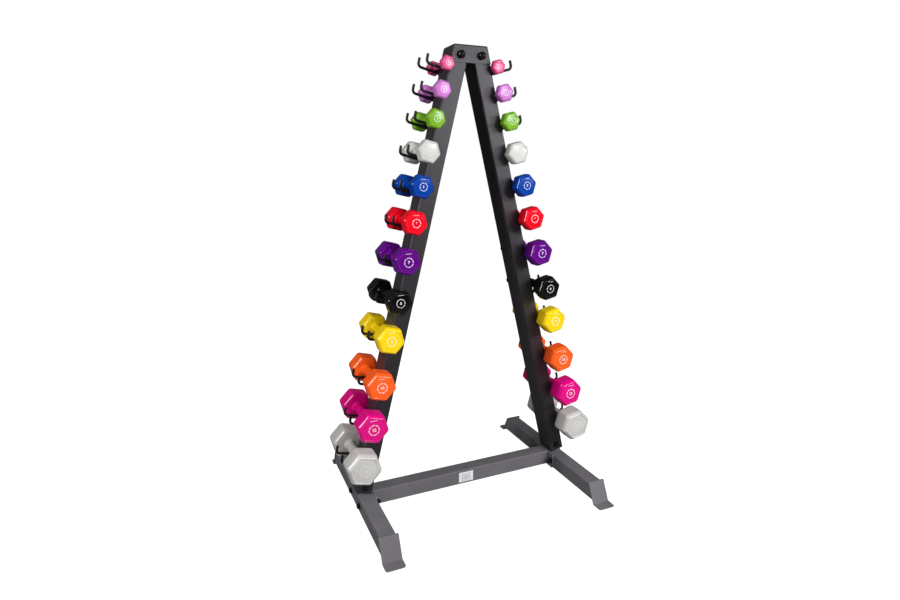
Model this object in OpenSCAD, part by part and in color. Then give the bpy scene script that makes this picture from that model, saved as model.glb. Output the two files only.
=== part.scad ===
// Two-sided dumbbell rack: two uprights lean together over an H-shaped base.
// Pairs of hooks on each upright's outer face hold a row of hexagonal dumbbells.
// +X runs along the cross tube, +Y from front to back, +Z up. The origin is on the
// floor, below the middle of the rack. All sizes are in millimetres.

/* [Frame] */
// Height of the top bracket above the floor
rack_height = 1428.5; // [1400:0.5:1500]
// Width across the outer faces of the two base rails
base_width = 772; // [772:1:800]
// Front-to-back length across the foot plates
base_depth = 676; // [620:2:800]
// Side of the square base tubes
rail_tube = 50.8; // [45:0.1:55]
// Width of an upright, across its leaning faces
upright_width = 50.8; // [50:0.1:52]
// Depth of an upright, front to back
upright_depth = 76.2; // [76.2:0.1:78]
// Wall thickness of all tubes
tube_wall = 2.5; // [2:0.1:3]
// Gap between the base rails and the floor
rail_clearance = 9.4; // [6:0.2:12]

/* [Plates] */
// Thickness of the foot plates
foot_plate = 4; // [3:0.5:5]
// Width of the foot plates
foot_width = 59.6; // [56:0.2:64]
// Length of a foot plate's flat toe
foot_toe = 33; // [25:1:45]
// Horizontal lean of a foot plate from its toe to its top edge
foot_lean = 30; // [20:1:35]
// Height of a foot plate's top edge above the rail
foot_rise = 5; // [2:0.5:8]
// Thickness of the cross tube's end plates
end_plate = 4; // [3:0.5:5]
// Depth of the cross tube's end plates, front to back
end_plate_depth = 128; // [124:2:132]
// Thickness of the top bracket
bracket_plate = 3; // [2:0.5:4]
// Depth of the top bracket's front and rear leaves
bracket_drop = 50; // [46:1:50]

/* [Hooks] */
// Distance from the top of the upright to the first row, along the upright
first_row = 88.5; // [84:0.5:92]
// Distance from the first row to the second
first_pitch = 77; // [77:0.5:79]
// Growth of that distance from each row to the next
pitch_step = 7.8; // [7.4:0.1:7.8]
// Largest distance between rows
last_pitch = 130; // [128:0.5:132]
// Height of each row above that even progression, from the top row down
row_lifts = [0, 0, 0, -4, -6, -4, -3, 0, 13, 1, 2, 2];
// Diameter of the hook rod
rod_d = 8; // [7:0.2:8]
// Reach from the upright's face to the hook's upturned end
hook_reach = 70; // [68:1:76]
// Height of the upturned end above the rod's arm
hook_rise = 25; // [22:1:26]
// Centre-line radius of the hook's bend
hook_bend = 11; // [9:0.5:12]

/* [Dumbbells] */
// Nominal weight of each row's dumbbell, in pounds, from the top row down
weights = [1, 2, 3, 4, 5, 6, 7, 8, 9, 10, 12, 15];
// Width of each row's heads across two flats
head_flats = [39, 49, 53, 63, 65, 69, 76, 72, 79, 84, 89, 99];
// Overall length of each row's dumbbell
lengths = [126, 146, 154, 164, 182, 200, 214, 232, 222, 234, 250, 260];
// Length of each row's heads, along the handle
head_lengths = [22.5, 30, 33.5, 41, 44, 49, 56, 53, 60, 63, 66, 72];
// Radius of each row's handle
handle_radii = [9, 10, 11, 12.5, 13, 13.5, 14, 14.5, 14.5, 15, 15, 15.5];
// Gap between each handle and the upright's face
stand_off = 6; // [4:0.5:8]

/* [Fasteners] */
// Diameter of every bolt's shank
bolt_d = 9.5; // [8:0.5:10]
// Width of every bolt head and nut across flats
hex_flats = 15; // [13:0.5:16]
// Diameter of every washer
washer_d = 22; // [18:0.5:24]

/* [Hidden] */
$fn = 64;
SIDES = ["left", "right"];
ENDS = ["front", "rear"];
FRAME_NODES = [
    for (s = SIDES) str("base_rail_", s),
    for (s = SIDES, e = ENDS) str("foot_plate_", s, "_", e),
    "cross_tube",
    for (s = SIDES) str("cross_tube_end_plate_", s),
    for (s = SIDES) str("upright_", s),
    for (s = SIDES) str("upright_socket_", s),
    "top_bracket",
    for (s = SIDES, e = ENDS) str("hooks_", s, "_", e),
    "base_bolts", "base_washers", "base_nuts",
    "socket_bolts", "socket_washers", "socket_nuts",
    "bracket_bolts", "bracket_washers", "bracket_nuts", "bolt_covers",
    "label_plate"
];

frame_black = [0.13, 0.12, 0.13];
base_grey = [0.42, 0.41, 0.42];
zinc_black = [0.08, 0.08, 0.08];
vinyl = [
    [0.93, 0.30, 0.62], [0.74, 0.42, 0.82], [0.36, 0.72, 0.12], [0.88, 0.87, 0.83],
    [0.02, 0.23, 0.66], [0.90, 0.05, 0.08], [0.32, 0.10, 0.52], [0.05, 0.05, 0.06],
    [0.98, 0.80, 0.05], [0.96, 0.32, 0.06], [0.80, 0.02, 0.46], [0.62, 0.61, 0.60]
];

// Base
rail_top = rail_clearance + rail_tube;
rail_mid = rail_clearance + rail_tube / 2;
rail_inner = base_width / 2 - rail_tube;
rail_centre = base_width / 2 - rail_tube / 2;
bend_y = base_depth / 2 - foot_toe;
foot_top = rail_top + foot_rise;
foot_angle = atan((foot_top - foot_plate) / foot_lean);
cross_end = rail_inner - end_plate;
base_bolt_y = 50;

// Uprights: each is drawn upright in its own frame, whose origin is where its inner
// face meets the rack's middle plane, then leaned about that point
tube_top = rack_height - bracket_plate;
foot_run = rail_inner + 6.7;
lean = atan(foot_run / (rack_height - rail_top));
upright_length = (rack_height - rail_top) / cos(lean);
slope_width = upright_width / cos(lean);
socket_wall = 3;
socket_width = 37;
socket_depth = upright_depth - 2 * tube_wall - 1;
socket_length = 95;
socket_bolt_rise = 20;

// Top bracket
bracket_depth = upright_depth + 2 * bracket_plate;
bracket_bolt_z = rack_height - 28.5;
bracket_bolt_x = 33;

// Hooks
rows = len(weights);
rod_r = rod_d / 2;
hook_y = upright_depth / 2 - rod_r - 0.1;
tip_chamfer = 1;

// Fasteners
hole_r = bolt_d / 2 + 0.3;
head_h = 6.4;
nut_h = 8;
washer_t = 2;
thread_end = 4;
cover_r = 11.5;

// Dumbbells
rest_gap = 0.3;
head_chamfer = 0.12;
face_size = 0.85;

function total(list, count) = count <= 0 ? 0 : list[count - 1] + total(list, count - 1);
pitches = [for (i = [0:rows - 2]) min(first_pitch + i * pitch_step, last_pitch)];
function row_h(i) = row_lifts[i] - first_row - total(pitches, i);

// Draws its children for one side; they are modelled on the right side
module on_side(side) {
    mirror([side == "left" ? 1 : 0, 0, 0]) children();
}

// Draws its children at one end; they are modelled at the front
module at_end(end) {
    mirror([0, end == "rear" ? 1 : 0, 0]) children();
}

// Moves its children from an upright's own frame to the rack's frame
module leaned() {
    translate([0, 0, rack_height]) rotate([0, -lean, 0]) children();
}

// A cylinder along Y, centred on the origin
module y_cylinder(radius, length) {
    rotate([90, 0, 0]) cylinder(r = radius, h = length, center = true);
}

// Base rail: a square tube, cut at both ends along the leaning foot plates
module rail_side() {
    reach = bend_y - foot_plate / sin(foot_angle);
    at_top = reach - (rail_top - foot_plate) / tan(foot_angle);
    at_bottom = reach - (rail_clearance - foot_plate) / tan(foot_angle);
    polygon([
        [-at_bottom, rail_clearance], [at_bottom, rail_clearance],
        [at_top, rail_top], [-at_top, rail_top]
    ]);
}

module base_rail(side) {
    color(base_grey) on_side(side) difference() {
        translate([rail_inner, 0, 0]) rotate([90, 0, 90]) linear_extrude(rail_tube) rail_side();
        translate([rail_inner + tube_wall, -base_depth / 2, rail_clearance + tube_wall])
            cube([rail_tube - 2 * tube_wall, base_depth, rail_tube - 2 * tube_wall]);
        for (end = [-1, 1]) translate([rail_centre, end * base_bolt_y, rail_mid])
            rotate([0, 90, 0]) cylinder(r = hole_r, h = rail_tube + 2, center = true);
    }
}

// Foot plate: a leaning plate bent to a flat toe on the floor
module foot_plate_profile() {
    sheet = foot_plate / sin(foot_angle);
    toe_end = base_depth / 2;
    top_y = bend_y - (foot_top - foot_plate) / tan(foot_angle);
    heel = bend_y - sheet + foot_plate / tan(foot_angle);
    polygon([
        [-toe_end, 0], [-toe_end, foot_plate], [-bend_y, foot_plate], [-top_y, foot_top],
        [-top_y + sheet, foot_top], [-heel, 0]
    ]);
}

module foot_plate_part(side, end) {
    color(base_grey) on_side(side) at_end(end)
        translate([rail_centre - foot_width / 2, 0, 0]) rotate([90, 0, 90])
            linear_extrude(foot_width) foot_plate_profile();
}

// Cross tube and its end plates
module cross_tube() {
    color(base_grey) difference() {
        translate([-cross_end, -rail_tube / 2, rail_clearance])
            cube([2 * cross_end, rail_tube, rail_tube]);
        translate([-cross_end - 1, -rail_tube / 2 + tube_wall, rail_clearance + tube_wall])
            cube([2 * cross_end + 2, rail_tube - 2 * tube_wall, rail_tube - 2 * tube_wall]);
    }
}

module plate_outline() {
    corner = 8;
    half_y = end_plate_depth / 2;
    half_z = rail_tube / 2;
    square([2 * half_y - 2 * corner, 2 * half_z], center = true);
    square([2 * half_y, 2 * half_z - 2 * corner], center = true);
    for (y = [-1, 1], z = [-1, 1])
        translate([y * (half_y - corner), z * (half_z - corner)]) circle(r = corner);
}

module cross_tube_end_plate(side) {
    color(base_grey) on_side(side) difference() {
        translate([cross_end, 0, rail_mid]) rotate([90, 0, 90])
            linear_extrude(end_plate) plate_outline();
        for (end = [-1, 1]) translate([cross_end, end * base_bolt_y, rail_mid])
            rotate([0, 90, 0]) cylinder(r = hole_r, h = 3 * end_plate, center = true);
    }
}

// Upright: a rectangular tube, cut square at the foot and level at the top
module upright(side) {
    color(frame_black) on_side(side) difference() {
        leaned() translate([0, -upright_depth / 2, -upright_length])
            cube([upright_width, upright_depth, upright_length + 20]);
        leaned() translate([tube_wall, -upright_depth / 2 + tube_wall, -upright_length - 1])
            cube([upright_width - 2 * tube_wall, upright_depth - 2 * tube_wall,
                  upright_length + 30]);
        translate([-100, -100, tube_top]) cube([300, 200, 100]);
        leaned() socket_bolt_axis() y_cylinder(hole_r, upright_depth + 2);
        bracket_bolt_axis() y_cylinder(hole_r, upright_depth + 2);
    }
}

module socket_bolt_axis() {
    translate([upright_width / 2, 0, -upright_length + socket_bolt_rise]) children();
}

module bracket_bolt_axis() {
    translate([bracket_bolt_x, 0, bracket_bolt_z]) children();
}

// Socket: a short tube inside the upright's foot, welded to the rail
module upright_socket(side) {
    start = tube_wall + 0.5;
    color(base_grey) on_side(side) difference() {
        leaned() translate([start, -socket_depth / 2, -upright_length - 40])
            cube([socket_width, socket_depth, socket_length + 40]);
        leaned() translate([start + socket_wall, -socket_depth / 2 + socket_wall,
                            -upright_length - 41])
            cube([socket_width - 2 * socket_wall, socket_depth - 2 * socket_wall,
                  socket_length + 50]);
        translate([rail_inner - 50, -100, rail_top - 100]) cube([200, 200, 100]);
        leaned() socket_bolt_axis() y_cylinder(hole_r, upright_depth + 2);
    }
}

// Top bracket: front leaf, top and rear leaf, folded from one plate
module bracket_outline() {
    drop_x = slope_width + bracket_drop * tan(lean);
    polygon([
        [-slope_width, rack_height], [slope_width, rack_height],
        [drop_x, rack_height - bracket_drop], [-drop_x, rack_height - bracket_drop]
    ]);
}

module top_bracket() {
    color(frame_black) difference() {
        translate([0, bracket_depth / 2, 0]) rotate([90, 0, 0])
            linear_extrude(bracket_depth) bracket_outline();
        translate([-150, -upright_depth / 2, rack_height - 100])
            cube([300, upright_depth, 100 - bracket_plate]);
        for (side = SIDES) on_side(side) bracket_bolt_axis() y_cylinder(hole_r, bracket_depth + 2);
    }
}

// Hook: a bent rod, drawn in the upright's own frame from the face outwards
module hook() {
    straight = hook_reach - hook_bend;
    rotate([0, 90, 0]) cylinder(r = rod_r, h = straight);
    translate([straight, 0, hook_bend]) rotate([90, 0, 0]) rotate([0, 0, -90])
        rotate_extrude(angle = 90) translate([hook_bend, 0]) circle(r = rod_r);
    translate([hook_reach, 0, hook_bend])
        cylinder(r = rod_r, h = hook_rise - hook_bend - tip_chamfer);
    translate([hook_reach, 0, hook_rise - tip_chamfer])
        cylinder(r1 = rod_r, r2 = rod_r - tip_chamfer, h = tip_chamfer);
}

module hooks(side, end) {
    color(zinc_black) on_side(side) leaned()
        for (i = [0:rows - 1])
            translate([upright_width, end == "front" ? -hook_y : hook_y, row_h(i)]) hook();
}

// Fasteners
module hex_block(height) {
    cylinder(r = hex_flats / 2 / cos(30), h = height, $fn = 6);
}

module washer() {
    difference() {
        cylinder(d = washer_d, h = washer_t);
        translate([0, 0, -1]) cylinder(r = hole_r, h = washer_t + 2);
    }
}

module nut() {
    difference() {
        hex_block(nut_h);
        translate([0, 0, -1]) cylinder(r = bolt_d / 2, h = nut_h + 2);
    }
}

// A bolt whose head's underside is at the origin and whose shank runs along +Z
module bolt(grip) {
    translate([0, 0, -head_h]) hex_block(head_h);
    cylinder(r = bolt_d / 2, h = grip + nut_h + thread_end);
}

// The four bolts through the rails start on the rails' outer faces
module at_base_bolts() {
    for (side = SIDES, end = [-1, 1]) on_side(side)
        translate([base_width / 2, end * base_bolt_y, rail_mid]) rotate([0, -90, 0]) children();
}

// The two bolts at the uprights' feet start on the front faces
module at_socket_bolts() {
    for (side = SIDES) on_side(side) leaned() socket_bolt_axis()
        translate([0, -upright_depth / 2, 0]) rotate([-90, 0, 0]) children();
}

// The two bolts through the top bracket start on its front leaf
module at_bracket_bolts() {
    for (side = SIDES) on_side(side) bracket_bolt_axis()
        translate([0, -bracket_depth / 2, 0]) rotate([-90, 0, 0]) children();
}

// One joint's bolt, with a washer under its head, and its nut, with a washer under it
module joint_bolt(grip) {
    translate([0, 0, -washer_t]) bolt(grip + 2 * washer_t);
}

module joint_washers(grip) {
    translate([0, 0, -washer_t]) washer();
    translate([0, 0, grip]) washer();
}

module joint_nut(grip) {
    translate([0, 0, grip + washer_t]) nut();
}

base_grip = rail_tube + end_plate;

module bolt_covers() {
    color(zinc_black) at_bracket_bolts() translate([0, 0, -washer_t]) difference() {
        intersection() {
            translate([0, 0, -head_h + 4]) sphere(r = cover_r);
            translate([0, 0, -40]) cylinder(r = cover_r, h = 40);
        }
        translate([0, 0, -head_h]) cylinder(r = hex_flats / 2 / cos(30) + 0.1, h = 40);
    }
}

module label_plate() {
    label_width = 54;
    label_height = 36;
    label_t = 0.5;
    color([0.86, 0.86, 0.86])
        translate([-label_width / 2, -rail_tube / 2 - label_t, rail_mid - label_height / 2])
            cube([label_width, label_t, label_height]);
}

// Dumbbell: drawn along Y, centred on the origin
function hex_ring(corner, half, size, y) = [
    for (p = [[1, 0], [0.5, 1], [-0.5, 1], [-1, 0], [-0.5, -1], [0.5, -1]])
        [size * p[0] * corner, y, size * p[1] * half]
];

// Hexagonal head with chamfered faces. Two of its six corners point away from the
// upright and towards it
module hex_head(flats, length) {
    corner = round(10 * flats / 2 / cos(30)) / 10;
    half = flats / 2;
    chamfer = head_chamfer * flats;
    rings = [[face_size, 0], [1, chamfer], [1, length - chamfer], [face_size, length]];
    polyhedron(
        [for (r = rings) each hex_ring(corner, half, r[0], r[1])],
        [
            [5, 4, 3, 2, 1, 0],
            for (r = [0, 6, 12], k = [0:5])
                [r + k, r + (k + 1) % 6, r + 6 + (k + 1) % 6, r + 6 + k],
            [18, 19, 20, 21, 22, 23]
        ]
    );
}

module dumbbell(side, i) {
    handle_r = handle_radii[i];
    off_face = upright_width + stand_off + handle_r;
    above_rod = row_h(i) + rod_r + rest_gap + handle_r;
    color(vinyl[i]) on_side(side) leaned() translate([off_face, 0, above_rod]) {
        y_cylinder(handle_r, lengths[i] - head_lengths[i]);
        for (end = ENDS) at_end(end)
            translate([0, -lengths[i] / 2, 0]) hex_head(head_flats[i], head_lengths[i]);
    }
}

for (s = SIDES) {
    base_rail(s);
    cross_tube_end_plate(s);
    upright(s);
    upright_socket(s);
    for (e = ENDS) {
        foot_plate_part(s, e);
        hooks(s, e);
    }
    for (i = [0:rows - 1])
        dumbbell(s, i);
}
cross_tube();
top_bracket();
color(zinc_black) at_base_bolts() joint_bolt(base_grip);  // base_bolts
color(zinc_black) at_base_bolts() joint_washers(base_grip);  // base_washers
color(zinc_black) at_base_bolts() joint_nut(base_grip);  // base_nuts
color(zinc_black) at_socket_bolts() joint_bolt(upright_depth);  // socket_bolts
color(zinc_black) at_socket_bolts() joint_washers(upright_depth);  // socket_washers
color(zinc_black) at_socket_bolts() joint_nut(upright_depth);  // socket_nuts
color(zinc_black) at_bracket_bolts() joint_bolt(bracket_depth);  // bracket_bolts
color(zinc_black) at_bracket_bolts() joint_washers(bracket_depth);  // bracket_washers
color(zinc_black) at_bracket_bolts() joint_nut(bracket_depth);  // bracket_nuts
bolt_covers();
label_plate();
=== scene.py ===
"""Looks for a two-sided dumbbell rack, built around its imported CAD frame.

The hooks, fasteners, sockets, end plates and label plate are the CAD nodes, given materials
and, where their edges are square, bevels. The tubes, folded plates, bolt covers, dumbbells,
printed marks and weld beads are meshes made here, placed from the CAD nodes' own vertices.
Lengths are in metres: +X to the right, +Y to the back, +Z up.
"""

import math

import bmesh
import bpy
from mathutils import Matrix, Vector


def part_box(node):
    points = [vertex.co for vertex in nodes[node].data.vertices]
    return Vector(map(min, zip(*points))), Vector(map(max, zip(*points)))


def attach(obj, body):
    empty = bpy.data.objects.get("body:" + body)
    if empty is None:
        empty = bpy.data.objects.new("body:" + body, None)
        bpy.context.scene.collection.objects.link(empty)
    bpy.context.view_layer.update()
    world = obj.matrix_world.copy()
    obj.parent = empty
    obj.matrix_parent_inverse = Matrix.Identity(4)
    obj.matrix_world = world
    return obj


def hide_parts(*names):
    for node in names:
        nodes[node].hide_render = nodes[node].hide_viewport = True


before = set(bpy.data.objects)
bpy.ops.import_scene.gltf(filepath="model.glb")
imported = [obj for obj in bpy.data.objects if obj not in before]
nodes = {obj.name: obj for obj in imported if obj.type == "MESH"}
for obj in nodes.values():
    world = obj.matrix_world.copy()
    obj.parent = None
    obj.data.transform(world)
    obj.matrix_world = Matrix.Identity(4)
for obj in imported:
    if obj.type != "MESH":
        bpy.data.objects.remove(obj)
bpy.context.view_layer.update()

SIDES = ("left", "right")
ENDS = ("front", "rear")
MM = 0.001
CLOSE = 0.01 * MM  # vertices nearer than this along an axis are level with each other
X_AXIS = Vector((1, 0, 0))
Y_AXIS = Vector((0, 1, 0))
Z_AXIS = Vector((0, 0, 1))

# Weight in pounds: material slot and vinyl colour, as linear red, green and blue
VINYL = {
    1: ("vinyl_pink", (0.57, 0.062, 0.21)),
    2: ("vinyl_lavender", (0.47, 0.145, 0.48)),
    3: ("vinyl_lime", (0.155, 0.36, 0.016)),
    4: ("vinyl_white", (0.525, 0.52, 0.50)),
    5: ("vinyl_blue", (0.001, 0.041, 0.30)),
    6: ("vinyl_red", (0.76, 0.0015, 0.014)),
    7: ("vinyl_purple", (0.102, 0.001, 0.195)),
    8: ("vinyl_black", (0.0022, 0.0022, 0.0025)),
    9: ("vinyl_yellow", (0.84, 0.585, 0.004)),
    10: ("vinyl_orange", (0.94, 0.110, 0.011)),
    12: ("vinyl_magenta", (0.66, 0.001, 0.20)),
    15: ("vinyl_grey", (0.52, 0.51, 0.49)),
}


# ---------------------------------------------------------------- materials


class Shader:
    """Builds one procedural material: a Principled shader fed by object-space noise."""

    def __init__(self, name):
        self.material = bpy.data.materials.new(name)
        self.material.use_nodes = True
        self.tree = self.material.node_tree
        self.surface = self.tree.nodes["Principled BSDF"]
        self.position = self.tree.nodes.new("ShaderNodeTexCoord").outputs["Object"]

    def set(self, **values):
        """Sets sockets of the Principled shader, named with underscores for spaces."""
        for socket, value in values.items():
            self.surface.inputs[socket.replace("_", " ")].default_value = value

    def noise(self, grain, detail=2.0):
        """A noise whose features are about grain metres across."""
        node = self.tree.nodes.new("ShaderNodeTexNoise")
        node.inputs["Scale"].default_value = 1 / grain
        node.inputs["Detail"].default_value = detail
        self.tree.links.new(self.position, node.inputs["Vector"])
        return node.outputs["Fac"]

    def spread(self, value, low, high):
        """Maps the middle of a noise onto low to high."""
        node = self.tree.nodes.new("ShaderNodeMapRange")
        node.inputs["From Min"].default_value = 0.3
        node.inputs["From Max"].default_value = 0.7
        node.inputs["To Min"].default_value = low
        node.inputs["To Max"].default_value = high
        self.tree.links.new(value, node.inputs["Value"])
        return node.outputs["Result"]

    def mix(self, factor, first, second):
        """Blends two colours; each is a socket or an RGB triple."""
        node = self.tree.nodes.new("ShaderNodeMix")
        node.data_type = "RGBA"
        self.tree.links.new(factor, node.inputs["Factor"])
        for socket, colour in (("A", first), ("B", second)):
            target = next(i for i in node.inputs if i.name == socket and i.type == "RGBA")
            if isinstance(colour, tuple):
                target.default_value = (*colour, 1)
            else:
                self.tree.links.new(colour, target)
        return next(o for o in node.outputs if o.type == "RGBA")

    def edges(self, width):
        """About 1 along convex and concave edges and 0 on the flats, broken up by noise."""
        rounded = self.tree.nodes.new("ShaderNodeBevel")
        rounded.samples = 4
        rounded.inputs["Radius"].default_value = width
        flat = self.tree.nodes.new("ShaderNodeNewGeometry")
        agree = self.tree.nodes.new("ShaderNodeVectorMath")
        agree.operation = "DOT_PRODUCT"
        self.tree.links.new(rounded.outputs["Normal"], agree.inputs[0])
        self.tree.links.new(flat.outputs["Normal"], agree.inputs[1])
        edge = self.tree.nodes.new("ShaderNodeMapRange")
        edge.inputs["From Min"].default_value = 0.995
        edge.inputs["From Max"].default_value = 0.90
        self.tree.links.new(agree.outputs["Value"], edge.inputs["Value"])
        patchy = self.spread(self.noise(11 * MM, 4), 0.15, 1)
        both = self.tree.nodes.new("ShaderNodeMath")
        both.operation = "MULTIPLY"
        self.tree.links.new(edge.outputs["Result"], both.inputs[0])
        self.tree.links.new(patchy, both.inputs[1])
        return both.outputs["Value"]

    def link(self, value, socket):
        """Feeds a value into a socket of the Principled shader."""
        self.tree.links.new(value, self.surface.inputs[socket])

    def bump(self, height, distance, strength, below=None):
        """Normals for a height, laid over those of another bump when one is given."""
        node = self.tree.nodes.new("ShaderNodeBump")
        node.inputs["Distance"].default_value = distance
        node.inputs["Strength"].default_value = strength
        self.tree.links.new(height, node.inputs["Height"])
        if below is not None:
            self.tree.links.new(below, node.inputs["Normal"])
        return node.outputs["Normal"]


def shade(colour, share):
    """A colour made darker or lighter."""
    return tuple(channel * share for channel in colour)


PLAIN_GLOSS = 0.5


def powder_coat(name, colour, worn, roughness, gloss):
    """Baked powder: slight mottle, orange-peel texture, fine grain and rubbed edges.

    Gloss above the plain level also adds a clear coat.
    """
    s = Shader(name)
    mottle = s.spread(s.noise(90 * MM, 3), 0, 1)
    paint = s.mix(mottle, shade(colour, 0.88), shade(colour, 1.1))
    fleck = s.spread(s.noise(1.1 * MM, 2), 0, 0.14)
    paint = s.mix(fleck, paint, worn)
    s.link(s.mix(s.edges(1.6 * MM), paint, worn), "Base Color")
    s.link(s.spread(s.noise(1.6 * MM), roughness - 0.07, roughness + 0.07), "Roughness")
    s.set(Specular_IOR_Level=gloss, Specular_Tint=(0.96, 0.93, 1.0, 1))
    s.set(Coat_Weight=gloss - PLAIN_GLOSS, Coat_Roughness=roughness)
    peel = s.bump(s.noise(2.4 * MM), 0.22 * MM, 0.3)
    s.link(s.bump(s.noise(0.6 * MM, 1), 0.06 * MM, 0.3, peel), "Normal")
    return s.material


def rod_coat(name, colour):
    """Thin black dip on the hooks, worn a little shinier and paler in patches."""
    s = Shader(name)
    wear = s.spread(s.noise(14 * MM, 4), 0, 1)
    s.link(s.mix(wear, colour, shade(colour, 2.4)), "Base Color")
    s.link(s.spread(s.noise(9 * MM, 3), 0.34, 0.5), "Roughness")
    s.link(s.bump(s.noise(1.1 * MM), 0.12 * MM, 0.3), "Normal")
    return s.material


def blackened_steel(name, colour):
    """Black oxide on bolts, nuts and washers: dark metal, brighter where tools rubbed it."""
    s = Shader(name)
    rubbed = s.spread(s.noise(3 * MM, 4), 0, 1)
    oxide = s.mix(rubbed, colour, shade(colour, 2.0))
    s.link(s.mix(s.edges(0.5 * MM), oxide, shade(colour, 6.0)), "Base Color")
    s.link(s.spread(s.noise(1.6 * MM), 0.34, 0.52), "Roughness")
    s.set(Metallic=0.55)
    s.link(s.bump(s.noise(0.8 * MM), 0.05 * MM, 0.3), "Normal")
    return s.material


def moulded_plastic(name, colour):
    """Glossy black moulding with a faint grain."""
    s = Shader(name)
    s.link(s.mix(s.spread(s.noise(8 * MM), 0, 1), colour, shade(colour, 1.4)), "Base Color")
    s.link(s.spread(s.noise(2.5 * MM), 0.18, 0.28), "Roughness")
    s.link(s.bump(s.noise(0.9 * MM), 0.04 * MM, 0.25), "Normal")
    return s.material


def dipped_vinyl(name, colour):
    """Glossy vinyl dip: soft ripples from dipping, a fine grain and thin, scuffed edges."""
    s = Shader(name)
    drift = s.spread(s.noise(45 * MM, 2), 0, 1)
    skin = s.mix(drift, shade(colour, 0.92), shade(colour, 1.05))
    scuffed = tuple(0.85 * channel + 0.03 for channel in colour)
    s.link(s.mix(s.edges(2.2 * MM), skin, scuffed), "Base Color")
    s.link(s.spread(s.noise(6 * MM, 3), 0.15, 0.25), "Roughness")
    ripple = s.bump(s.noise(24 * MM, 1), 0.5 * MM, 0.22)
    s.link(s.bump(s.noise(1.6 * MM, 2), 0.03 * MM, 0.2, ripple), "Normal")
    return s.material


def ink(name, colour):
    """Pad-printed ink, slightly uneven where it lies on the vinyl."""
    s = Shader(name)
    patchy = s.spread(s.noise(2 * MM, 3), 0, 1)
    s.link(s.mix(patchy, shade(colour, 0.9), colour), "Base Color")
    s.link(s.spread(s.noise(1.2 * MM), 0.35, 0.5), "Roughness")
    return s.material


def sticker(name):
    """A pale label with rows of plain grey bars where small print would be."""
    s = Shader(name)
    split = s.tree.nodes.new("ShaderNodeSeparateXYZ")
    s.tree.links.new(s.position, split.inputs["Vector"])

    def math_node(kind, first, second):
        node = s.tree.nodes.new("ShaderNodeMath")
        node.operation = kind
        for socket, value in zip(node.inputs, (first, second)):
            if isinstance(value, float):
                socket.default_value = value
            else:
                s.tree.links.new(value, socket)
        return node.outputs["Value"]

    row_pitch = 4.5 * MM
    low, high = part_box("label_plate")
    middle = (low + high) / 2
    across = math_node("ABSOLUTE", math_node("SUBTRACT", split.outputs["X"], middle.x), 0.0)
    up = math_node("SUBTRACT", split.outputs["Z"], low.z)
    row = math_node("FRACT", math_node("DIVIDE", up, row_pitch), 0.0)
    in_row = math_node("LESS_THAN", row, 0.45)
    inside = math_node("LESS_THAN", across, 0.31 * (high.x - low.x))
    off_edge = math_node(
        "LESS_THAN",
        math_node("ABSOLUTE", math_node("SUBTRACT", split.outputs["Z"], middle.z), 0.0),
        0.38 * (high.z - low.z),
    )
    broken = math_node("GREATER_THAN", s.noise(3 * MM, 1), 0.42)
    printed = math_node("MULTIPLY", math_node("MULTIPLY", in_row, inside), off_edge)
    printed = math_node("MULTIPLY", printed, broken)
    s.link(s.mix(printed, (0.74, 0.73, 0.75), (0.30, 0.29, 0.31)), "Base Color")
    s.link(s.spread(s.noise(4 * MM), 0.35, 0.5), "Roughness")
    return s.material


base_coat = powder_coat(
    "base_coat_look",
    colour=(0.124, 0.118, 0.129),
    worn=(0.30, 0.29, 0.31),
    roughness=0.46,
    gloss=0.6,
)
frame_coat = powder_coat(
    "upright_coat_look",
    colour=(0.0070, 0.0058, 0.0076),
    worn=(0.050, 0.046, 0.054),
    roughness=0.48,
    gloss=1.0,
)
hook_coat = rod_coat("hook_coat_look", (0.004, 0.004, 0.0045))
fastener_steel = blackened_steel("fastener_steel_look", (0.010, 0.010, 0.011))
cover_plastic = moulded_plastic("cover_plastic_look", (0.004, 0.004, 0.004))
label_look = sticker("label_look")


# ---------------------------------------------------------------- mesh helpers


def points_of(node):
    """A CAD node's vertices."""
    return [v.co.copy() for v in nodes[node].data.vertices]


def add_piece(name, mesh, look, body, replaces=()):
    """Adds a finished bmesh as one piece that rides on a body."""
    data = bpy.data.meshes.new(name)
    mesh.normal_update()
    mesh.to_mesh(data)
    mesh.free()
    data.materials.append(look)
    piece = bpy.data.objects.new(name, data)
    bpy.context.scene.collection.objects.link(piece)
    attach(piece, body)
    if replaces:
        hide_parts(*replaces)
    normals = piece.modifiers.new("Normals", "WEIGHTED_NORMAL")
    normals.keep_sharp = True


def bridge(mesh, first, second):
    """Faces between two rings of the same number of vertices."""
    count = len(first)
    for k in range(count):
        n = (k + 1) % count
        mesh.faces.new((first[k], first[n], second[n], second[k]))


def smooth_by_angle(mesh, degrees):
    """Smooth shading that stays sharp across edges steeper than this."""
    limit = math.radians(degrees)
    for face in mesh.faces:
        face.smooth = True
    for edge in mesh.edges:
        edge.smooth = len(edge.link_faces) == 2 and edge.calc_face_angle(0) < limit


def soften(node, width):
    """Rounds a CAD node's edges with modifiers, leaving its own mesh as it is."""
    weld = nodes[node].modifiers.new("Weld", "WELD")
    weld.merge_threshold = 0.005 * MM
    bevel = nodes[node].modifiers.new("Bevel", "BEVEL")
    bevel.width = width
    bevel.segments = 3
    bevel.limit_method = "ANGLE"
    bevel.angle_limit = math.radians(35)
    normals = nodes[node].modifiers.new("Normals", "WEIGHTED_NORMAL")
    normals.weight = 100


# ---------------------------------------------------------------- tubes

TUBE_WALL = 2.5 * MM
TUBE_CORNER = 3.6 * MM


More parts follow.
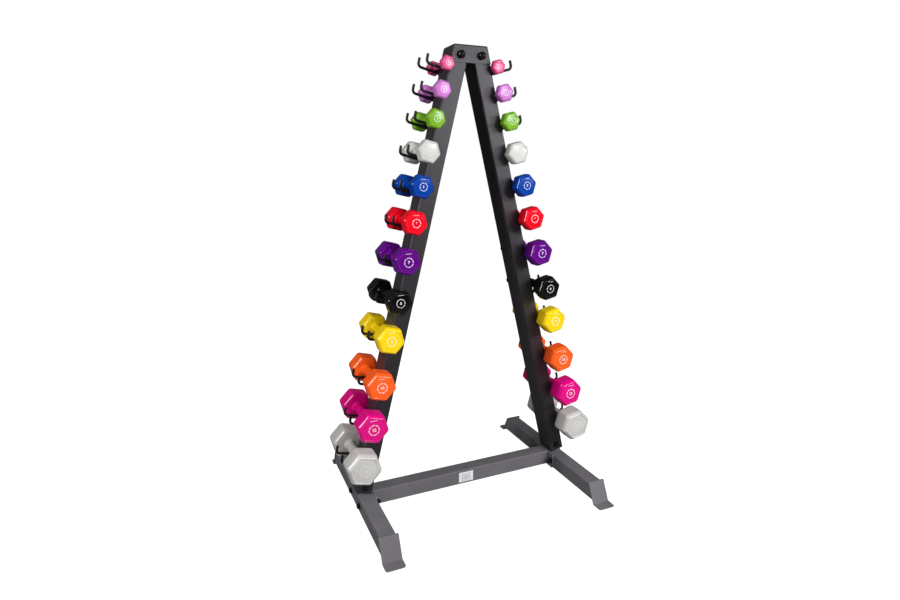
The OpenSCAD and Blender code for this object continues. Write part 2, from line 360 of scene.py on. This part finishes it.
def rounded_outline(width, depth, radius, steps=5):
    """A rectangle with round corners, centred on the origin, as 2D points."""
    outline = []
    for quarter, (sx, sy) in enumerate(((1, 1), (-1, 1), (-1, -1), (1, -1))):
        centre_x = sx * (width / 2 - radius)
        centre_y = sy * (depth / 2 - radius)
        for step in range(steps + 1):
            angle = math.pi / 2 * (quarter + step / steps)
            outline.append(
                (centre_x + radius * math.cos(angle), centre_y + radius * math.sin(angle))
            )
    return outline


def tube(origin, u, v, outer, inner, start_plane, end_plane):
    """A tube along u x v. Each plane is a point and a normal, and cuts one end."""
    along = u.cross(v)
    mesh = bmesh.new()

    def cut(outline, plane):
        point, normal = plane
        ring = []
        for x, y in outline:
            base = origin + u * x + v * y
            travel = (point - base).dot(normal) / along.dot(normal)
            ring.append(mesh.verts.new(base + along * travel))
        return ring

    rings = [
        [cut(outline, plane) for plane in (start_plane, end_plane)] for outline in (outer, inner)
    ]
    count = len(outer)
    for k in range(count):
        n = (k + 1) % count
        (a, b), (c, d) = rings
        mesh.faces.new((a[k], a[n], b[n], b[k]))
        mesh.faces.new((c[n], c[k], d[k], d[n]))
        mesh.faces.new((b[k], b[n], d[n], d[k]))
        mesh.faces.new((a[n], a[k], c[k], c[n]))
    bmesh.ops.recalc_face_normals(mesh, faces=mesh.faces)
    smooth_by_angle(mesh, 30)
    return mesh


def section(width, depth):
    """A tube's outer and inner outlines."""
    outer = rounded_outline(width, depth, TUBE_CORNER)
    inner = rounded_outline(
        width - 2 * TUBE_WALL, depth - 2 * TUBE_WALL, TUBE_CORNER - TUBE_WALL
    )
    return outer, inner


def longest_edge(node):
    """The upward direction of a node's longest edge that keeps its distance from the front."""
    data = nodes[node].data
    ends = [(data.vertices[e.vertices[0]].co, data.vertices[e.vertices[1]].co) for e in data.edges]
    level = [b - a for a, b in ends if abs(b.y - a.y) < CLOSE]
    direction = max(level, key=lambda d: d.length).normalized()
    return direction if direction.z > 0 else -direction


LEAN = {side: longest_edge(f"upright_{side}") for side in SIDES}
# Square to each upright's outer face, away from it
OUTWARD = {side: Y_AXIS.cross(LEAN[side]) * (1 if side == "right" else -1) for side in SIDES}


def make_upright(side):
    """A leaning tube, cut square at its foot and level at its top."""
    node = f"upright_{side}"
    up = LEAN[side]
    out = OUTWARD[side]
    points = points_of(node)
    reach = [p.dot(out) for p in points]
    low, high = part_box(node)
    width = max(reach) - min(reach)
    depth = high.y - low.y
    foot = min(points, key=lambda p: p.dot(up))
    origin = out * (max(reach) + min(reach)) / 2
    v = Y_AXIS if out.cross(Y_AXIS).dot(up) > 0 else -Y_AXIS
    outer, inner = section(width, depth)
    mesh = tube(origin, out, v, outer, inner, (foot, up), (high, Z_AXIS))
    add_piece(f"{node}_tube", mesh, frame_coat, "root", [node])


def make_base_rail(side):
    """A tube from front to back, cut at both ends to the foot plates' lean."""
    node = f"base_rail_{side}"
    low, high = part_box(node)
    points = points_of(node)
    top = [p for p in points if p.z > high.z - CLOSE]
    end_top = max(p.y for p in top)
    slope = Vector((0, high.z - low.z, high.y - end_top)).normalized()
    origin = Vector(((low.x + high.x) / 2, 0, (low.z + high.z) / 2))
    outer, inner = section(high.z - low.z, high.x - low.x)
    mesh = tube(
        origin,
        Z_AXIS,
        X_AXIS,
        outer,
        inner,
        (Vector((0, low.y, low.z)), Vector((0, -slope.y, slope.z))),
        (Vector((0, high.y, low.z)), slope),
    )
    add_piece(f"{node}_tube", mesh, base_coat, "root", [node])


def make_cross_tube():
    """A tube from side to side, cut square at both ends."""
    low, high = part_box("cross_tube")
    outer, inner = section(high.y - low.y, high.z - low.z)
    ends = (low, X_AXIS), (high, X_AXIS)
    mesh = tube((low + high) / 2, Y_AXIS, Z_AXIS, outer, inner, *ends)
    add_piece("cross_tube_body", mesh, base_coat, "root", ["cross_tube"])


for side in SIDES:
    make_upright(side)
    make_base_rail(side)
make_cross_tube()


# ---------------------------------------------------------------- folded plates

SHEET_RIM = 0.8 * MM
BRACKET_FOLD = 4.5 * MM
FOOT_BEND = 3 * MM
TOE_CORNER = 7 * MM
CAP_SIDES = 40
CAP_STEPS = 9


def fold_line(points, radius, steps=6):
    """An open line of 2D points whose inner corners are rounded."""
    rounded = [Vector(points[0])]
    for before, corner, after in zip(points, points[1:], points[2:]):
        corner = Vector(corner)
        back = (Vector(before) - corner).normalized()
        ahead = (Vector(after) - corner).normalized()
        half = back.angle(ahead) / 2
        centre = corner + (back + ahead).normalized() * radius / math.sin(half)
        start = corner + back * radius / math.tan(half) - centre
        stop = corner + ahead * radius / math.tan(half) - centre
        for step in range(steps + 1):
            rounded.append(centre + start.lerp(stop, step / steps).normalized() * radius)
    return rounded + [Vector(points[-1])]


def folded_sheet(outside, inside, half_widths, middle_x=0):
    """A sheet with rounded rims, swept along two matched lines of (y, z) points."""
    mesh = bmesh.new()
    rings = []
    for first, second, half in zip(outside, inside, half_widths):
        middle = (first + second) / 2
        across = (first - second).normalized()
        outline = rounded_outline(2 * half, (first - second).length, SHEET_RIM, 3)
        ring = []
        for x, offset in outline:
            point = middle + across * offset
            ring.append(mesh.verts.new((middle_x + x, point.x, point.y)))
        rings.append(ring)
    for first, second in zip(rings, rings[1:]):
        bridge(mesh, first, second)
    mesh.faces.new(rings[0])
    mesh.faces.new(rings[-1])
    bmesh.ops.recalc_face_normals(mesh, faces=mesh.faces)
    smooth_by_angle(mesh, 35)
    return mesh


def make_top_bracket():
    """Front leaf, top and rear leaf of one sheet, rolled at the two folds."""
    low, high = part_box("top_bracket")
    points = points_of("top_bracket")
    narrow = max(p.x for p in points if p.z > high.z - CLOSE)
    sheet = min(p.y for p in points if low.y + 0.1 * MM < p.y < 0) - low.y
    corners = [(low.y, low.z), (low.y, high.z), (high.y, high.z), (high.y, low.z)]
    outside = fold_line(corners, BRACKET_FOLD)
    corners = [
        (low.y + sheet, low.z),
        (low.y + sheet, high.z - sheet),
        (high.y - sheet, high.z - sheet),
        (high.y - sheet, low.z),
    ]
    inside = fold_line(corners, BRACKET_FOLD - sheet)
    spread = (high.x - narrow) / (high.z - low.z)
    halves = [narrow + (high.z - p.y) * spread for p in outside]
    mesh = folded_sheet(outside, inside, halves)
    name = "top_bracket_plate"
    add_piece(name, mesh, frame_coat, "root", ["top_bracket"])


def make_foot_plate(side, end):
    """A leaning plate with a rolled bend to its toe and round toe corners."""
    node = f"foot_plate_{side}_{end}"
    low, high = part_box(node)
    sign = -1 if end == "front" else 1
    reach = sorted({(round(sign * p.y / MM, 2), round(p.z / MM, 2)) for p in points_of(node)})
    top_inner, top_outer, heel, bend, sole, toe = [
        Vector((sign * y, z)) * MM for y, z in reach
    ]
    inside = fold_line([toe, bend, top_outer], FOOT_BEND)
    outside = fold_line([sole, heel, top_inner], FOOT_BEND + toe.y - sole.y)
    half = (high.x - low.x) / 2
    halves = [half] * len(inside)
    for share in (0.8, 0.5, 0.3, 0.15, 0.05):
        travel = TOE_CORNER * share
        back = Vector((-sign * travel, 0))
        inside.insert(1, toe + back)
        outside.insert(1, sole + back)
        bulge = math.sqrt(TOE_CORNER**2 - (TOE_CORNER - travel) ** 2)
        halves.insert(1, half - TOE_CORNER + bulge)
    halves[0] = half - TOE_CORNER
    mesh = folded_sheet(outside, inside, halves, (low.x + high.x) / 2)
    add_piece(f"{node}_sheet", mesh, base_coat, "root", [node])


def make_bolt_covers():
    """Two smooth round caps over the bracket's front bolts."""
    low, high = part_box("bolt_covers")
    radius = (high.z - low.z) / 2
    turns = [2 * math.pi * k / CAP_SIDES for k in range(CAP_SIDES)]
    widest = low.y + radius
    profile = [(high.y, radius)]
    for step in range(CAP_STEPS):
        angle = math.pi / 2 * step / CAP_STEPS
        profile.append((widest - radius * math.sin(angle), radius * math.cos(angle)))
    mesh = bmesh.new()
    for x in (low.x + radius, high.x - radius):
        centre = Vector((x, 0, (low.z + high.z) / 2))
        rings = []
        for y, r in profile:
            spokes = [Vector((math.cos(t) * r, y, math.sin(t) * r)) for t in turns]
            rings.append([mesh.verts.new(centre + spoke) for spoke in spokes])
        for first, second in zip(rings, rings[1:]):
            bridge(mesh, first, second)
        mesh.faces.new(rings[0])
        peak = mesh.verts.new(Vector((x, low.y, centre.z)))
        for k in range(len(turns)):
            mesh.faces.new((rings[-1][k], rings[-1][(k + 1) % len(turns)], peak))
    bmesh.ops.recalc_face_normals(mesh, faces=mesh.faces)
    smooth_by_angle(mesh, 50)
    add_piece("bolt_cover_caps", mesh, cover_plastic, "root", ["bolt_covers"])


# ---------------------------------------------------------------- welds

ROD_D = 8 * MM
BEAD_SIDES = 8
COLLAR_SIDES = 28


def bead(mesh, path, radius, seed):
    """A rippled weld bead along a path of points, as a closed tube."""
    rings = []
    for k, point in enumerate(path):
        ahead = path[min(k + 1, len(path) - 1)] - path[max(k - 1, 0)]
        across = ahead.orthogonal().normalized()
        other = ahead.normalized().cross(across)
        swell = 1 + 0.16 * math.sin(1.9 * k + seed) + 0.1 * math.sin(0.7 * k + 2 * seed)
        size = radius * swell * (0.35 if k in (0, len(path) - 1) else 1)
        ring = []
        for turn in range(BEAD_SIDES):
            angle = 2 * math.pi * turn / BEAD_SIDES
            offset = across * math.cos(angle) + other * math.sin(angle)
            ring.append(mesh.verts.new(point + offset * size))
        rings.append(ring)
    for first, second in zip(rings, rings[1:]):
        bridge(mesh, first, second)
    mesh.faces.new(rings[0])
    mesh.faces.new(rings[-1])


def straight_path(start, stop, step=1.6 * MM):
    """Evenly spaced points from start to stop."""
    count = max(2, round((stop - start).length / step))
    return [start.lerp(stop, k / count) for k in range(count + 1)]


def finish_bead(name, mesh, look):
    """Adds weld metal as one smooth piece of the stand."""
    bmesh.ops.recalc_face_normals(mesh, faces=mesh.faces)
    for face in mesh.faces:
        face.smooth = True
    add_piece(name, mesh, look, "root")


def make_foot_welds(side, end):
    """Beads along the rail's top and two sides, in the corner behind the foot plate."""
    rail_low, rail_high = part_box(f"base_rail_{side}")
    sign = -1 if end == "front" else 1
    points = points_of(f"base_rail_{side}")
    top_y = sign * max(sign * p.y for p in points if p.z > rail_high.z - CLOSE)
    low_y = sign * max(sign * p.y for p in points if p.z < rail_low.z + CLOSE)
    mesh = bmesh.new()
    inset = 4 * MM
    for x in (rail_low.x, rail_high.x):
        foot = Vector((x, low_y, rail_low.z + inset))
        head = Vector((x, top_y, rail_high.z - inset))
        bead(mesh, straight_path(foot, head), radius=1.7 * MM, seed=2)
    left = Vector((rail_low.x + inset, top_y, rail_high.z))
    right = Vector((rail_high.x - inset, top_y, rail_high.z))
    bead(mesh, straight_path(left, right), radius=1.9 * MM, seed=1)
    finish_bead(f"weld_foot_{side}_{end}", mesh, base_coat)


def make_cross_welds(side):
    """Beads round the cross tube where it meets its end plate."""
    low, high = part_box("cross_tube")
    x = low.x if side == "left" else high.x
    mesh = bmesh.new()
    inset = 5 * MM
    for y in (low.y, high.y):
        ends = [Vector((x, y, z)) for z in (low.z + inset, high.z - inset)]
        bead(mesh, straight_path(*ends), radius=1.9 * MM, seed=3)
    ends = [Vector((x, y, high.z)) for y in (low.y + inset, high.y - inset)]
    bead(mesh, straight_path(*ends), radius=1.9 * MM, seed=5)
    finish_bead(f"weld_cross_{side}", mesh, base_coat)


def hook_roots(side):
    """Where each hook's arm leaves the upright's outer face."""
    out, up = OUTWARD[side], LEAN[side]
    face = max(p.dot(out) for p in points_of(f"upright_{side}"))
    reach = 0.05 * MM
    roots = []
    for end in ENDS:
        points = points_of(f"hooks_{side}_{end}")
        on_face = [p for p in points if abs(p.dot(out) - face) < reach]
        on_face.sort(key=lambda p: p.dot(up))
        group = []
        for p in on_face:
            if group and p.dot(up) - group[0].dot(up) > ROD_D + MM:
                roots.append(sum(group, Vector()) / len(group))
                group = []
            group.append(p)
        roots.append(sum(group, Vector()) / len(group))
    return roots


def make_hook_welds(side):
    """A small collar of weld round the root of every hook."""
    out, up = OUTWARD[side], LEAN[side]
    mesh = bmesh.new()
    # Distance out from the upright's face, and radius
    profile = [(-3.2 * MM, 6.6 * MM), (0, 6.6 * MM), (1.3 * MM, 5.6 * MM), (2.6 * MM, 3.9 * MM)]
    for index, root in enumerate(hook_roots(side)):
        rings = []
        for travel, radius in profile:
            ring = []
            for turn in range(COLLAR_SIDES):
                angle = 2 * math.pi * turn / COLLAR_SIDES
                ripple = 1 + 0.06 * math.sin(7 * angle + index) * (travel >= 0)
                spoke = (up * math.cos(angle) + Y_AXIS * math.sin(angle)) * radius * ripple
                ring.append(mesh.verts.new(root + out * travel + spoke))
            rings.append(ring)
        for first, second in zip(rings, rings[1:]):
            bridge(mesh, first, second)
        mesh.faces.new(rings[0])
        mesh.faces.new(rings[-1])
    finish_bead(f"weld_hooks_{side}", mesh, hook_coat)


make_top_bracket()
make_bolt_covers()
for side in SIDES:
    make_cross_welds(side)
    make_hook_welds(side)
    for end in ENDS:
        make_foot_plate(side, end)
        make_foot_welds(side, end)


# ---------------------------------------------------------------- dumbbells

# The face is a share of the head's widest part, the next two of its width across the flats
FACE_SIZE = 0.85
EDGE_ROUND = 0.055
DOME = 0.022
HANDLE_SIDES = 48
PLAIN_HALF = 39 * MM  # a handle starts to flare no nearer its middle than this, past the hooks


def head_rings(node):
    """A dumbbell's rings of vertices, by their distance along the handle, front half only."""
    rings = {}
    for p in points_of(node):
        rings.setdefault(round(p.y / MM, 2), []).append(p)
    return [rings[y] for y in sorted(rings) if y < 0]


class Dumbbell:
    """Sizes of one CAD dumbbell, read from its own vertices."""

    def __init__(self, side, weight):
        self.side, self.weight = side, weight
        self.node = f"dumbbell_{side}_{weight}lb"
        face, belt, _, inner = head_rings(self.node)[:4]
        self.centre = sum(face, Vector()) / len(face)
        self.centre.y = 0
        self.corner = max(self.flat_distance(p) for p in belt)
        self.handle_r = min(self.flat_distance(p) for p in inner)
        self.face_y = face[0].y
        self.belt_y = belt[0].y
        self.inner_y = inner[0].y
        self.flats = self.corner * math.cos(math.radians(30)) * 2

    def flat_distance(self, point):
        """How far a point is from the handle's axis."""
        return math.hypot(point.x - self.centre.x, point.z - self.centre.z)

    def place(self, radius, angle, y):
        """A point at this radius and angle about the handle, angle 0 away from the upright."""
        out = OUTWARD[self.side] * math.cos(angle) + LEAN[self.side] * math.sin(angle)
        return self.centre + out * radius + Y_AXIS * y


def hexagon(dumbbell, mesh, radius, y):
    """A ring of six vertices with a corner away from the upright."""
    return [mesh.verts.new(dumbbell.place(radius, math.radians(60 * k), y)) for k in range(6)]


def make_head(dumbbell, end):
    """One hexagonal head: a cage of rings whose edges are then rounded like dipped vinyl."""
    mesh = bmesh.new()
    sign = 1 if end == "front" else -1
    face_y = sign * dumbbell.face_y
    belt_y = sign * dumbbell.belt_y
    inner_y = sign * dumbbell.inner_y
    back_y = inner_y - (belt_y - face_y)
    rings = [
        hexagon(dumbbell, mesh, dumbbell.corner * FACE_SIZE, face_y),
        hexagon(dumbbell, mesh, dumbbell.corner, belt_y),
        hexagon(dumbbell, mesh, dumbbell.corner, back_y),
        hexagon(dumbbell, mesh, dumbbell.corner * FACE_SIZE, inner_y),
    ]
    for first, second in zip(rings, rings[1:]):
        bridge(mesh, first, second)
    mesh.faces.new(rings[0])
    mesh.faces.new(rings[-1])
    bmesh.ops.recalc_face_normals(mesh, faces=mesh.faces)
    bmesh.ops.bevel(
        mesh,
        geom=mesh.edges[:],
        offset=EDGE_ROUND * dumbbell.flats,
        segments=4,
        profile=0.5,
        affect="EDGES",
        clamp_overlap=True,
    )
    dome(mesh, dumbbell, face_y)
    return mesh


def dome(mesh, dumbbell, face_y):
    """Replaces a head's flat outer face with a shallow dome that peaks at the same height."""
    flat = max(
        (f for f in mesh.faces if abs(f.calc_center_median().y - face_y) < CLOSE),
        key=lambda f: f.calc_area(),
    )
    rim = list(flat.verts)
    drop = DOME * dumbbell.flats
    inward = -1 if face_y < 0 else 1
    reach = max(dumbbell.flat_distance(v.co) for v in rim)
    mesh.faces.remove(flat)
    centre = dumbbell.centre + Y_AXIS * face_y
    rings = [rim]
    for share in (0.8, 0.6, 0.4, 0.2):
        ring = []
        for v in rim:
            point = centre.lerp(Vector((v.co.x, face_y, v.co.z)), share)
            distance = dumbbell.flat_distance(point) / reach
            point.y -= inward * drop * distance**2
            ring.append(mesh.verts.new(point))
        rings.append(ring)
    for v in rim:
        v.co.y -= inward * drop * (dumbbell.flat_distance(v.co) / reach) ** 2
    peak = mesh.verts.new(centre)
    for first, second in zip(rings, rings[1:]):
        bridge(mesh, first, second)
    last = rings[-1]
    for k in range(len(last)):
        mesh.faces.new((last[k], last[(k + 1) % len(last)], peak))
    bmesh.ops.recalc_face_normals(mesh, faces=mesh.faces)


def handle_profile(dumbbell):
    """(distance from the middle, radius) pairs from the middle to inside the head."""
    radius = dumbbell.handle_r
    end = abs(dumbbell.inner_y)
    flare = min(0.16 * dumbbell.flats, end - PLAIN_HALF)
    grow = 0.3 * flare
    steps = 6
    profile = [(0, radius), (0.5 * (end - flare), radius), (end - flare, radius)]
    for step in range(1, steps + 1):
        turn = math.pi / 2 * step / steps
        distance = end - flare + flare * math.sin(turn)
        profile.append((distance, radius + grow * (1 - math.cos(turn))))
    profile.append((end + 0.1 * dumbbell.flats, profile[-1][1]))
    return profile


def make_handle(dumbbell):
    """A round handle that flares into both heads."""
    mesh = bmesh.new()
    half = handle_profile(dumbbell)
    whole = [(-y, r) for y, r in reversed(half)] + half[1:]
    turns = [2 * math.pi * k / HANDLE_SIDES for k in range(HANDLE_SIDES)]
    rings = [[mesh.verts.new(dumbbell.place(r, t, y)) for t in turns] for y, r in whole]
    for first, second in zip(rings, rings[1:]):
        bridge(mesh, first, second)
    mesh.faces.new(rings[0])
    mesh.faces.new(rings[-1])
    bmesh.ops.recalc_face_normals(mesh, faces=mesh.faces)
    return mesh


def joined(parts):
    """One bmesh from several, each freed."""
    whole = bmesh.new()
    for part in parts:
        data = bpy.data.meshes.new("part")
        part.to_mesh(data)
        part.free()
        whole.from_mesh(data)
        bpy.data.meshes.remove(data)
    return whole


def make_dumbbell(dumbbell, look):
    """A handle and two heads as one vinyl skin in place of the CAD dumbbell."""
    mesh = joined([make_handle(dumbbell)] + [make_head(dumbbell, end) for end in ENDS])
    smooth_by_angle(mesh, 40)
    name = f"vinyl_{dumbbell.side}_{dumbbell.weight}lb"
    add_piece(name, mesh, look, dumbbell.node, [dumbbell.node])


# ---------------------------------------------------------------- printed marks

PRINT_LIFT = 0.15 * MM
RING_DASHES = 8
DASH_GAP = 9  # degrees

# Shares of a head's width across its flats
RING_RADIUS = 0.19
RING_STROKE = 0.03
BAR_RISE = 0.33
BAR_LENGTH = 0.24
BAR_THICKNESS = 0.015
NUMERAL_HEIGHT = 0.145


def arc_strip(mesh, dumbbell, y, inner, outer, start, stop, steps=5):
    """A flat piece of ring on the head's face; angles in degrees."""
    rows = []
    for step in range(steps + 1):
        angle = math.radians(start + (stop - start) * step / steps)
        rows.append([mesh.verts.new(dumbbell.place(r, angle, y)) for r in (inner, outer)])
    for (a, b), (c, d) in zip(rows, rows[1:]):
        mesh.faces.new((a, b, d, c))


def numeral(text, height):
    """The outline of a plain number as a flat bmesh, centred on the origin."""
    curve = bpy.data.curves.new("numeral", "FONT")
    curve.body = text
    curve.size = height
    curve.offset = 0.04 * height
    curve.align_x = "CENTER"
    curve.align_y = "CENTER"
    carrier = bpy.data.objects.new("numeral", curve)
    bpy.context.scene.collection.objects.link(carrier)
    bpy.context.view_layer.update()
    mesh = bmesh.new()
    data = carrier.to_mesh()
    mesh.from_mesh(data)
    carrier.to_mesh_clear()
    bpy.data.objects.remove(carrier)
    bpy.data.curves.remove(curve)
    return mesh


def level_bar(mesh, dumbbell, y, sign):
    """A plain level bar above the ring."""
    right = Vector((sign, 0, 0))
    width = BAR_LENGTH * dumbbell.flats
    thickness = BAR_THICKNESS * dumbbell.flats
    middle = dumbbell.centre + Y_AXIS * y + Z_AXIS * (BAR_RISE * dumbbell.flats)
    corners = [(-1, -1), (1, -1), (1, 1), (-1, 1)]
    verts = [
        mesh.verts.new(middle + right * a * width / 2 + Z_AXIS * b * thickness / 2)
        for a, b in corners
    ]
    mesh.faces.new(verts)


def make_print(dumbbell, look):
    """A dashed ring round the weight with a plain bar above it, on both outer faces."""
    mesh = bmesh.new()
    flats = dumbbell.flats
    radius = RING_RADIUS * flats
    stroke = RING_STROKE * flats
    pitch = 360 / RING_DASHES
    for sign in (1, -1):
        y = sign * (dumbbell.face_y - PRINT_LIFT)
        for dash in range(RING_DASHES):
            start = dash * pitch + DASH_GAP / 2
            arc_strip(mesh, dumbbell, y, radius - stroke, radius, start, start + pitch - DASH_GAP)
        level_bar(mesh, dumbbell, y, sign)
        figure = numeral(str(dumbbell.weight), NUMERAL_HEIGHT * flats)
        right = Vector((sign, 0, 0))
        spin = Matrix((right, Z_AXIS, Vector((0, -sign, 0)))).transposed()
        figure.transform(Matrix.Translation(dumbbell.centre + Y_AXIS * y) @ spin.to_4x4())
        mesh = joined([mesh, figure])
    thicken(mesh, dumbbell)
    name = f"print_{dumbbell.side}_{dumbbell.weight}lb"
    add_piece(name, mesh, look, dumbbell.node)


def thicken(mesh, dumbbell):
    """Turns flat print into a thin closed layer that follows the domed face."""
    reach = dumbbell.corner * FACE_SIZE
    for vert in mesh.verts:
        sink = DOME * dumbbell.flats * (dumbbell.flat_distance(vert.co) / reach) ** 2
        vert.co.y += sink if vert.co.y < 0 else -sink
    flat = mesh.faces[:]
    made = bmesh.ops.extrude_face_region(mesh, geom=flat)["geom"]
    lift = 3 * PRINT_LIFT
    for vert in (g for g in made if isinstance(g, bmesh.types.BMVert)):
        vert.co.y += lift if vert.co.y < 0 else -lift
    bmesh.ops.recalc_face_normals(mesh, faces=mesh.faces)


def print_colour(colour):
    """The vinyl's colour taken toward pale ink, and less far on the white and grey vinyls."""
    strength = 0.72 if min(colour) < 0.3 else 0.3
    return tuple(c + (0.9 - c) * strength for c in colour)


for weight, (slot, colour) in VINYL.items():
    vinyl_look = dipped_vinyl(f"{slot}_look", colour)
    print_look = ink(f"print_{weight}lb_look", print_colour(colour))
    for side in SIDES:
        dumbbell = Dumbbell(side, weight)
        make_dumbbell(dumbbell, vinyl_look)
        make_print(dumbbell, print_look)


# ---------------------------------------------------------------- CAD nodes that stay

# Slot: material, and the width of its bevels
KEPT = {
    "base_powder_coat": (base_coat, 1.2 * MM),
    "upright_powder_coat": (frame_coat, 1.0 * MM),
    "hook_coat": (hook_coat, 0),
    "fastener_steel": (fastener_steel, 0.5 * MM),
    "label": (label_look, 0),
}
for node, thing in nodes.items():
    if thing.hide_render:  # a piece above stands for it
        continue
    slot = thing.data.materials[0].name
    look, width = KEPT[slot]
    thing.data.materials[0] = look
    if width:
        soften(node, width)


# ---------------------------------------------------------------- stage, light and camera

WORLD_LIGHT = 0.06
FAR_WHITE = 1.0
FLOOR_TONE = 0.28
FLOOR_TONE_IN_GLOSS = 0.12


def area_light(name, place, target, width, height, power, mirrored=True):
    """A softbox; one that isn't mirrored lights the rack without showing in its gloss."""
    data = bpy.data.lights.new(name, "AREA")
    data.shape = "RECTANGLE"
    data.size = width
    data.size_y = height
    data.energy = power
    light = bpy.data.objects.new(name, data)
    light.location = place
    light.rotation_euler = (Vector(target) - Vector(place)).to_track_quat("-Z", "Y").to_euler()
    light.visible_glossy = mirrored
    bpy.context.scene.collection.objects.link(light)


def camera_only(tree, seen, unseen, output):
    """The camera sees one shader and every other ray the other."""
    mix = tree.nodes.new("ShaderNodeMixShader")
    path = tree.nodes.new("ShaderNodeLightPath")
    tree.links.new(path.outputs["Is Camera Ray"], mix.inputs["Fac"])
    tree.links.new(unseen, mix.inputs[1])
    tree.links.new(seen, mix.inputs[2])
    tree.links.new(mix.outputs["Shader"], output.inputs["Surface"])


def make_world():
    """White to the camera and dim to the rack."""
    world = bpy.data.worlds.new("studio")
    world.use_nodes = True
    bpy.context.scene.world = world
    tree = world.node_tree
    white = tree.nodes.new("ShaderNodeBackground")
    white.inputs["Color"].default_value = (1, 1, 1, 1)
    white.inputs["Strength"].default_value = FAR_WHITE
    dim = tree.nodes["Background"]
    dim.inputs["Color"].default_value = (1, 1, 1, 1)
    dim.inputs["Strength"].default_value = WORLD_LIGHT
    camera_only(tree, white.outputs[0], dim.outputs[0], tree.nodes["World Output"])


def make_floor():
    """Grey paper that glows white to the camera and looks darker in gloss."""
    mesh = bmesh.new()
    bmesh.ops.create_grid(mesh, x_segments=1, y_segments=1, size=30)
    data = bpy.data.meshes.new("floor")
    mesh.to_mesh(data)
    mesh.free()
    floor = bpy.data.objects.new("floor", data)
    bpy.context.scene.collection.objects.link(floor)
    look = bpy.data.materials.new("floor_look")
    look.use_nodes = True
    tree = look.node_tree
    paper = tree.nodes["Principled BSDF"]
    path = tree.nodes.new("ShaderNodeLightPath")
    tone = tree.nodes.new("ShaderNodeMapRange")
    tone.inputs["To Min"].default_value = FLOOR_TONE
    tone.inputs["To Max"].default_value = FLOOR_TONE_IN_GLOSS
    tree.links.new(path.outputs["Is Glossy Ray"], tone.inputs["Value"])
    tree.links.new(tone.outputs["Result"], paper.inputs["Base Color"])
    paper.inputs["Roughness"].default_value = 0.9
    glow = tree.nodes.new("ShaderNodeEmission")
    glow.inputs["Strength"].default_value = FAR_WHITE - FLOOR_TONE * WORLD_LIGHT
    both = tree.nodes.new("ShaderNodeAddShader")
    tree.links.new(paper.outputs[0], both.inputs[0])
    tree.links.new(glow.outputs[0], both.inputs[1])
    camera_only(tree, both.outputs[0], paper.outputs[0], tree.nodes["Material Output"])
    data.materials.append(look)


def make_camera():
    """The eye at the rack's front left, turned to the right and tipped down."""
    data = bpy.data.cameras.new("camera")
    data.sensor_width = 36
    data.lens = 22.80
    camera = bpy.data.objects.new("camera", data)
    turned, dipped = math.radians(23.83), math.radians(13.02)
    camera.location = (-0.7759, -1.6436, 1.0790)
    camera.rotation_euler = (math.pi / 2 - dipped, 0, -turned)
    bpy.context.scene.collection.objects.link(camera)
    bpy.context.scene.camera = camera


make_world()
make_floor()
# Place, target, width, height and watts
area_light("key", (1.12, -2.40, 1.72), (0, 0, 1.2), 0.55, 0.55, 12)
area_light("right_box", (1.75, -1.75, 1.52), (0, 0, 1.0), 0.35, 0.50, 12)
area_light("left_strip", (-2.00, -0.15, 1.58), (-0.3, 0, 0.5), 0.16, 0.85, 26)
area_light("soft_key", (0.7, -2.6, 1.9), (0, 0, 0.7), 0.8, 0.8, 56, mirrored=False)
area_light("soft_front", (-0.9, -3.2, 1.7), (0, 0, 0.6), 2.2, 1.6, 46, mirrored=False)
area_light("soft_right", (2.6, -1.2, 1.5), (0, 0, 0.6), 1.2, 1.6, 10, mirrored=False)
area_light("rear_fill", (0.5, 2.8, 1.8), (0, 0, 0.6), 1.6, 1.2, 20, mirrored=False)
make_camera()
bpy.context.scene.view_settings.view_transform = "Standard"
